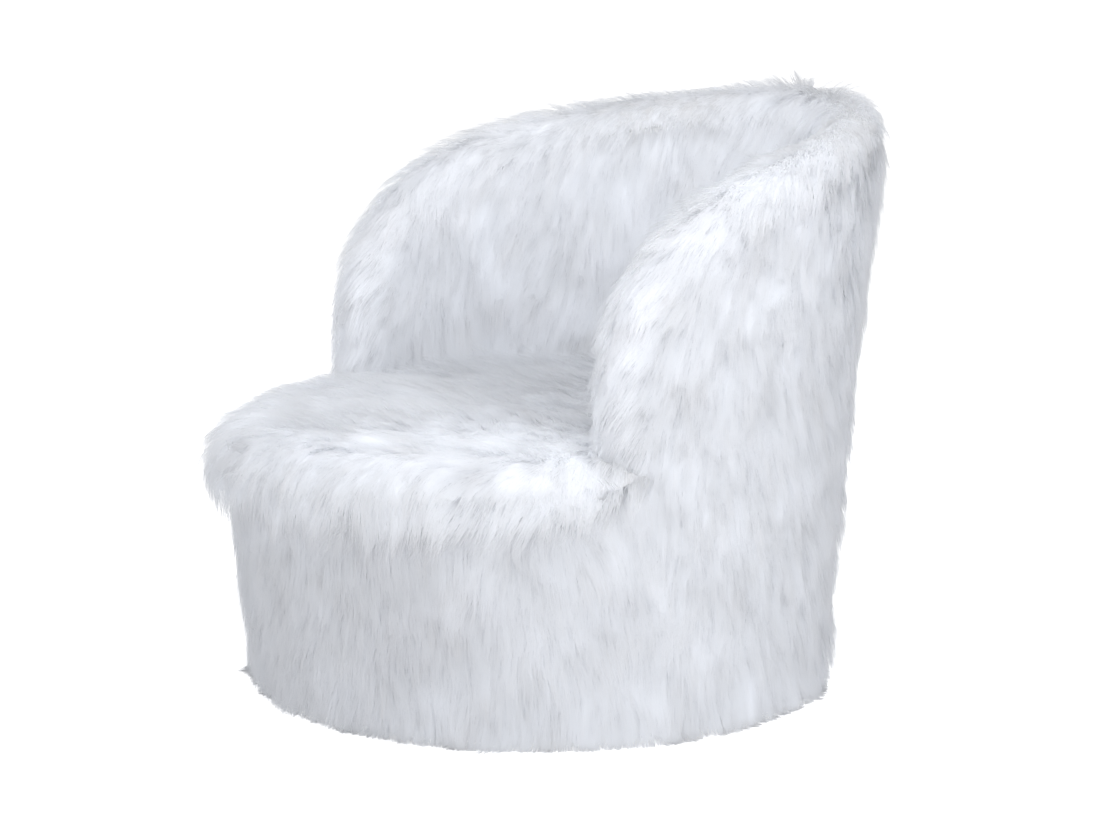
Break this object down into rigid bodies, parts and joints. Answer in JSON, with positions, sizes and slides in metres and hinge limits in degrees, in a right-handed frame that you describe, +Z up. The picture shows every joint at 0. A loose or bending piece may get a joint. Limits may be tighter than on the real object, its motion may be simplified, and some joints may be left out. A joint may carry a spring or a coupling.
{
  "type": "swivel tub chair",
  "caption": "Round faux-fur tub chair on a hidden turntable, with an overhanging round seat cushion and a wrap-around back whose edge sweeps down to two low arm ends.",
  "frame": {"origin": "on the floor, on the axis of the turntable, at the middle of the felt pad's underside", "axes": "+Z up; -Y is the way the sitter faces; +X is the sitter's left, the near side in the picture"},
  "size_m": [0.807, 1.024, 0.7952],
  "materials": {
    "fur": "long pile",
    "foam": "matt",
    "card": "matt",
    "timber": "sawn",
    "webbing": "woven",
    "black_cloth": "matt",
    "black_board": "satin black stain",
    "steel": "zinc plated"
  },
  "bodies": {
    "floor_base": {"felt_pad": "black_cloth", "plinth_disc": "black_board", "turntable_lower_plate": "steel"},
    "chair": {"rolled_edge_cover": "fur", "inside_back_cover": "fur", "outside_cover": "fur", "front_border_cover": "fur", "seat_cushion_cover": "fur", "seat_cushion_foam": "foam", "inside_lining_board": "card", "inside_back_foam": "foam", "outside_padding": "foam", "rim_padding": "foam", "bottom_ring": "timber", "bearer_across": "timber", "bearer_along": "timber", "seat_ring": "timber", "front_upright_near": "timber", "front_upright_far": "timber", "front_upright_middle": "timber", "upright_1_near": "timber", "upright_1_far": "timber", "upright_2_near": "timber", "upright_2_far": "timber", "upright_3_near": "timber", "upright_3_far": "timber", "rear_upright_middle": "timber", "arm_post_near": "timber", "arm_post_far": "timber", "back_post_1_near": "timber", "back_post_1_far": "timber", "back_post_2_near": "timber", "back_post_2_far": "timber", "back_post_middle": "timber", "bent_top_pole": "timber", "strap_along_1": "webbing", "strap_along_2": "webbing", "strap_along_3": "webbing", "strap_along_4": "webbing", "strap_across_1": "webbing", "strap_across_2": "webbing", "strap_across_3": "webbing", "strap_across_4": "webbing", "dust_cover": "black_cloth", "turntable_upper_plate": "steel", "turntable_ball_cage": "steel"}
  },
  "joints": [
    {"name": "swivel", "type": "hinge", "parent": "floor_base", "child": "chair", "pos_m": [0, 0, 0.03], "axis": [0, 0, 1], "continuous": true}
  ]
}
